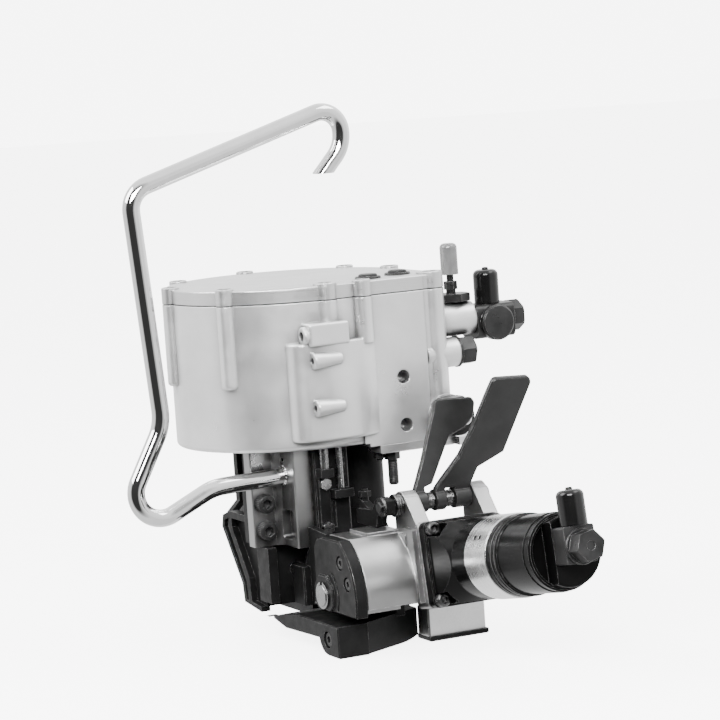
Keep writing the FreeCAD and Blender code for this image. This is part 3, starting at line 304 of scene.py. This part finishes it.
def surface(name, tone, other_tone, roughness, metallic=0.0, patch=30.0, grain=None, brush=None,
            worn=None, rounding=0.5, corner_shade=None, coat=0.0, swing=0.08, shine=0.5):
    """A finished surface that wanders between two tones in patches of scale patch.

    Its roughness swings by swing either way and its edges look rounded by rounding mm. shine is the
    specular level and coat the weight of a clear coat. grain is (scale, depth mm), brush is (stretch,
    turn, scale, depth mm, roughness swing) and worn is the rubbed edges' (tone, reach mm, amount). The
    painted shade in the corners takes (reach mm, tone): ambient occlusion darkens the colour towards
    that tone.
    """
    material, tree, shader = new_material(name)
    shader.inputs["Metallic"].default_value = metallic
    shader.inputs["Specular IOR Level"].default_value = shine
    if coat:
        shader.inputs["Coat Weight"].default_value = coat
        shader.inputs["Coat Roughness"].default_value = COAT_ROUGHNESS
    cloud = remap(tree, noise(tree, patch, detail=4.0, rough=0.6), 0.3, 0.7, 0.0, 1.0)
    colour = blend_colour(tree, cloud, grey(tone), grey(other_tone))
    rough = remap(tree, noise(tree, patch * GLOSS_SCALE, detail=5.0, rough=0.65), 0.25, 0.75,
                  roughness - swing, roughness + swing)
    normal = rounded_normal(tree, rounding)
    if grain:
        scale, depth = grain
        normal = bump(tree, noise(tree, scale, detail=3.0, rough=0.6), depth, normal)
    if brush:
        stretch, turn, scale, depth, lines_swing = brush
        lines = noise(tree, scale, placed(tree, stretch, turn), detail=4.0, rough=0.7)
        normal = bump(tree, lines, depth, normal)
        streak = remap(tree, lines, 0.3, 0.7, -lines_swing, lines_swing)
        rough = node(tree, "Math", [(0, rough), (1, streak)], operation="ADD").outputs[0]
        shade = remap(tree, lines, 0.35, 0.75, 0.0, BRUSH_AMOUNT)
        colour = blend_colour(tree, shade, colour, grey(tone * BRUSH_SHADE))
    # Painted shade: ambient occlusion darkens the colour in corners towards the given tone.
    if corner_shade:
        reach, shade_tone = corner_shade
        colour = blend_colour(tree, corner_occlusion(tree, reach), grey(shade_tone), colour)
    if worn:
        bright, reach, amount = worn
        chips = remap(tree, noise(tree, WEAR_SCALE), 0.42, 0.62, 0.1, amount)
        rub = times(tree, edge_mask(tree, reach), chips)
        colour = blend_colour(tree, rub, colour, grey(bright))
        tree.links.new(remap(tree, rub, 0.0, 1.0, metallic, 1.0), shader.inputs["Metallic"])
    tree.links.new(colour, shader.inputs["Base Color"])
    tree.links.new(rough, shader.inputs["Roughness"])
    tree.links.new(normal, shader.inputs["Normal"])
    return material


def paint_nodes():
    """Every CAD node takes the finished material of its slot in the record."""
    slots = {part["node"]: part["material_slot"] for part in frame["record"]["subparts"]}
    for name, obj in NODES.items():
        for slot in obj.material_slots:
            slot.material = MATERIALS[slots[name]]


# ---------------------------------------------------------------- studio
def make_world():
    """Soft grey room, brighter overhead, dark beside the camera and brighter opposite that end."""
    world = bpy.data.worlds.new("studio")
    bpy.context.scene.world = world
    world.use_nodes = True
    tree = world.node_tree
    way = node(tree, "TexCoord").outputs["Generated"]
    height = node(tree, "SeparateXYZ", [("Vector", way)]).outputs["Z"]
    facing = dot(tree, way, look(DARK_END_AZIMUTH, DARK_END_ELEVATION))
    dim = remap(tree, facing, *DARK_FADE, 1.0, DARK_END)
    rim = remap(tree, facing, *BACK_FADE, 1.0, BACK_LIGHT)
    rise = remap(tree, height, *RISE_SPAN, LOW_LIGHT, HIGH_LIGHT)
    background = tree.nodes["Background"]
    tree.links.new(times(tree, times(tree, rise, dim), rim), background.inputs["Strength"])
    background.inputs["Color"].default_value = (1, 1, 1, 1)


def area_light(name, azimuth, elevation, distance, size, power):
    data = bpy.data.lights.new(name, "AREA")
    data.shape = "RECTANGLE"
    data.size, data.size_y = size
    data.energy = power
    light = link(name, data)
    way = look(azimuth, elevation)
    light.location = LIGHTS_AIM + way * distance
    light.rotation_mode = "QUATERNION"
    light.rotation_quaternion = way.to_track_quat("Z", "Y")


def paper(name, glow, tone):
    material, tree, shader = new_material(name)
    shader.inputs["Base Color"].default_value = grey(tone)
    shader.inputs["Roughness"].default_value = 0.8
    shader.inputs["Specular IOR Level"].default_value = 0.1
    shader.inputs["Emission Color"].default_value = (1, 1, 1, 1)
    shader.inputs["Emission Strength"].default_value = glow
    return material


def stage_piece(name, form, height, glow, tone):
    """Floor or backdrop: the camera sees it, and it neither lights nor mirrors in the object."""
    mesh = bpy.data.meshes.new(name)
    form.to_mesh(mesh)
    form.free()
    obj = link(name, mesh)
    obj.location.z = height
    mesh.materials.append(paper(name + "_paper", glow, tone))
    obj.visible_diffuse = False
    obj.visible_glossy = False
    obj.visible_transmission = False
    obj.visible_shadow = False


def make_stage():
    disc = bmesh.new()
    bmesh.ops.create_circle(disc, cap_ends=True, segments=STAGE_SEGMENTS, radius=FLOOR_RADIUS)
    stage_piece("floor", disc, 0.0, PAPER_GLOW, PAPER_TONE)
    wall = bmesh.new()
    bmesh.ops.create_cone(wall, cap_ends=False, segments=STAGE_SEGMENTS, radius1=WALL_RADIUS,
                          radius2=WALL_RADIUS, depth=WALL_HEIGHT)
    stage_piece("backdrop", wall, WALL_MIDDLE, WALL_GLOW, WALL_TONE)
    make_world()
    for light in LIGHTS:
        area_light(*light)


# ---------------------------------------------------------------- finer pieces round the CAD frame
def add_piece(name, data, body, slot, finish=None):
    """Links one mesh or curve, rides it on its body and gives it its slot and finish."""
    obj = link(name, data)
    data.materials.append(MATERIALS[finish or slot])
    if hasattr(data, "polygons"):
        data.polygons.foreach_set("use_smooth", [True] * len(data.polygons))
    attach(obj, body)
    return obj


def mesh_from_rings(name, rings, closed=False, sharp=35.0):
    """Joins rings of equally many points into a skin; open skins get end caps."""
    form = bmesh.new()
    made = [[form.verts.new(p) for p in ring] for ring in rings]
    count = len(rings[0])
    pairs = list(zip(made, made[1:]))
    if closed:
        pairs.append((made[-1], made[0]))
    for low, high in pairs:
        for i in range(count):
            j = (i + 1) % count
            form.faces.new((low[i], low[j], high[j], high[i]))
    if not closed:
        form.faces.new(made[0][::-1])
        form.faces.new(made[-1])
    bmesh.ops.recalc_face_normals(form, faces=form.faces)
    for edge in form.edges:
        if len(edge.link_faces) == 2 and edge.calc_face_angle(0.0) > math.radians(sharp):
            edge.smooth = False
    mesh = bpy.data.meshes.new(name)
    form.to_mesh(mesh)
    form.free()
    return mesh


def axes_for(axis):
    """Turn that brings Z onto the axis."""
    return Vector(axis).to_track_quat("Z", "X").to_matrix()


def on_circle(radius, angle, along):
    return Vector((radius * math.cos(angle), radius * math.sin(angle), along))


def islands(node_name):
    """The separate solids of a CAD node as lists of points."""
    form = bmesh.new()
    form.from_mesh(NODES[node_name].data)
    bmesh.ops.remove_doubles(form, verts=form.verts, dist=1e-6)
    left = set(form.verts)
    found = []
    while left:
        stack = [left.pop()]
        group = []
        while stack:
            vert = stack.pop()
            group.append(vert.co.copy())
            for edge in vert.link_edges:
                other = edge.other_vert(vert)
                if other in left:
                    left.discard(other)
                    stack.append(other)
        found.append(group)
    form.free()
    return sorted(found, key=lambda g: [round(v, 5) for v in sum(g, Vector()) / len(g)])


def knurled_screw(points, axis, radius, height, across):
    """Rings of a cap screw's head on the CAD head: knurled side, turned rim, hexagon socket."""
    turn = axes_for(axis)
    axis = Vector(axis)
    top = max(p.dot(axis) for p in points)
    rim = [p for p in points if top - p.dot(axis) < RIM_DEPTH * MM]
    centre = sum(rim, Vector()) / len(rim)
    centre += axis * (top - centre.dot(axis))
    count = KNURLS * STEPS_PER_KNURL

    def ring(kind, size, depth):
        out = []
        for i in range(count):
            a = 2 * math.pi * i / count
            away = size
            if kind == "knurl" and i % STEPS_PER_KNURL >= STEPS_PER_KNURL // 2:
                away -= KNURL_DEPTH
            if kind == "hexagon":
                away = size / math.cos((a % (math.pi / 3)) - math.pi / 6)
            out.append(centre + turn @ (on_circle(away, a, -depth) * MM))
        return out
    flat = across / 2
    socket_depth = SOCKET_DEPTH * height
    # From the bearing face up the side, over the rim and down into the socket.
    return [ring("round", radius - 0.4, height), ring("knurl", radius, height - 0.3),
            ring("knurl", radius, 1.1), ring("round", radius - 0.15, 0.8),
            ring("round", radius - 0.6, 0.15), ring("round", radius - 0.9, 0.0),
            ring("hexagon", flat + 0.35, 0.0), ring("hexagon", flat, 0.4),
            ring("hexagon", flat, socket_depth), ring("round", 0.5, socket_depth + 0.8)]


def build_screws():
    for node_name, axis, radius, height, across, body, slot in SCREWS:
        for number, points in enumerate(islands(node_name)):
            name = "%s_head_%d" % (node_name, number)
            mesh = mesh_from_rings(name, knurled_screw(points, axis, radius, height, across))
            add_piece(name, mesh, body, slot)
        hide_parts(node_name)


def helix(centre, turn, radius, start, end, turns, steps=14):
    total = int(turns * steps)
    return [centre + turn @ on_circle(radius, 2 * math.pi * i / steps, start + (end - start) * i / total)
            for i in range(total + 1)]


def wire(name, spots, thickness):
    data = bpy.data.curves.new(name, "CURVE")
    data.dimensions = "3D"
    spline = data.splines.new("NURBS")
    spline.points.add(len(spots) - 1)
    for point, spot in zip(spline.points, spots):
        point.co = (*spot, 1.0)
    spline.order_u = 4
    spline.use_endpoint_u = True
    data.bevel_depth = thickness
    data.bevel_resolution = 4
    data.use_fill_caps = True
    return data


def build_springs():
    """Two torsion springs round the lever pin, each with a short leg at its first end."""
    low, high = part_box("lever_springs")
    hinge = Vector(JOINTS["tension_swing"]["pos_m"])
    centre = Vector((hinge.x, 0.0, hinge.z))
    turn = axes_for((0, 1, 0))
    near, far = SPRING_WIDTHS
    for number, (start, end) in enumerate(((low[1], low[1] + near * MM),
                                           (high[1] - far * MM, high[1]))):
        coil = helix(centre, turn, SPRING_RADIUS * MM, start + SPRING_INSET * MM,
                     end - SPRING_INSET * MM, SPRING_TURNS)
        leg = coil[0] + SPRING_LEG * MM
        name = "lever_spring_%d" % number
        data = wire(name, [leg] + coil, SPRING_WIRE * MM)
        add_piece(name, data, "tensioner", "bright_steel", "spring_wire")
    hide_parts("lever_springs")


def build_thread():
    """Thread of the adjuster pin that hangs under the valve block."""
    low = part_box("adjuster_screw")[0][2]
    points = [p for g in islands("adjuster_screw") for p in g if p.z < low + 0.5 * MM]
    centre = sum(points, Vector()) / len(points)
    centre.z = 0.0
    start, end = THREAD_SPAN
    ridge = helix(centre, Matrix.Identity(3), THREAD_RADIUS * MM, low + start * MM, low + end * MM,
                  THREAD_TURNS, 12)
    add_piece("adjuster_thread", wire("adjuster_thread", ridge, THREAD_WIRE * MM), "frame",
              "fitting_steel")


def turned_ring(name, centre, axis, major, minor, lump=None, count=72, sides=12):
    """A ring of round section, sizes in mm; lump(angle) scales the section."""
    turn = axes_for(axis)
    rings = []
    for i in range(count):
        a = 2 * math.pi * i / count
        size = minor * (lump(a) if lump else 1.0) * MM
        ring = []
        for j in range(sides):
            b = 2 * math.pi * j / sides
            away = major * MM + size * math.cos(b)
            ring.append(centre + turn @ on_circle(away, a, size * math.sin(b)))
        rings.append(ring)
    return mesh_from_rings(name, rings, closed=True, sharp=80.0)


def build_seals():
    """O-rings in the two grooves of the rear barrel."""
    start = Vector(JOINTS["motor_spin"]["pos_m"])
    axis = Vector(MOTOR_AXIS)
    for number, along in enumerate(SEALS_ALONG):
        name = "barrel_seal_%d" % number
        mesh = turned_ring(name, start + axis * (along * MM), axis, SEAL_RADIUS, SEAL_WIRE)
        add_piece(name, mesh, "tensioner", "gasket")


def build_weld():
    """Lumpy weld bead round the bail where it enters the bracket."""
    chance = random.Random(7)
    phases = [chance.uniform(0, 6.28) for _ in WELD_WAVES]
    even, side, ripple = WELD_PARTS

    def lump(a):
        wave = sum(math.sin(a * k + p) for k, p in zip(WELD_WAVES, phases)) / len(phases)
        heavy = 0.5 + 0.5 * math.cos(a - WELD_SIDE)
        return even + side * heavy ** 2 + ripple * wave
    mesh = turned_ring("bail_weld", WELD_AT * MM, (0, 1, 0), WELD_RADIUS, WELD_SIZE, lump, 120, 14)
    add_piece("bail_weld", mesh, "frame", "chrome")


make_camera()
make_stage()
MATERIALS = {name: surface(name, **finish) for name, finish in FINISHES.items()}
paint_nodes()
build_screws()
build_springs()
build_thread()
build_seals()
build_weld()
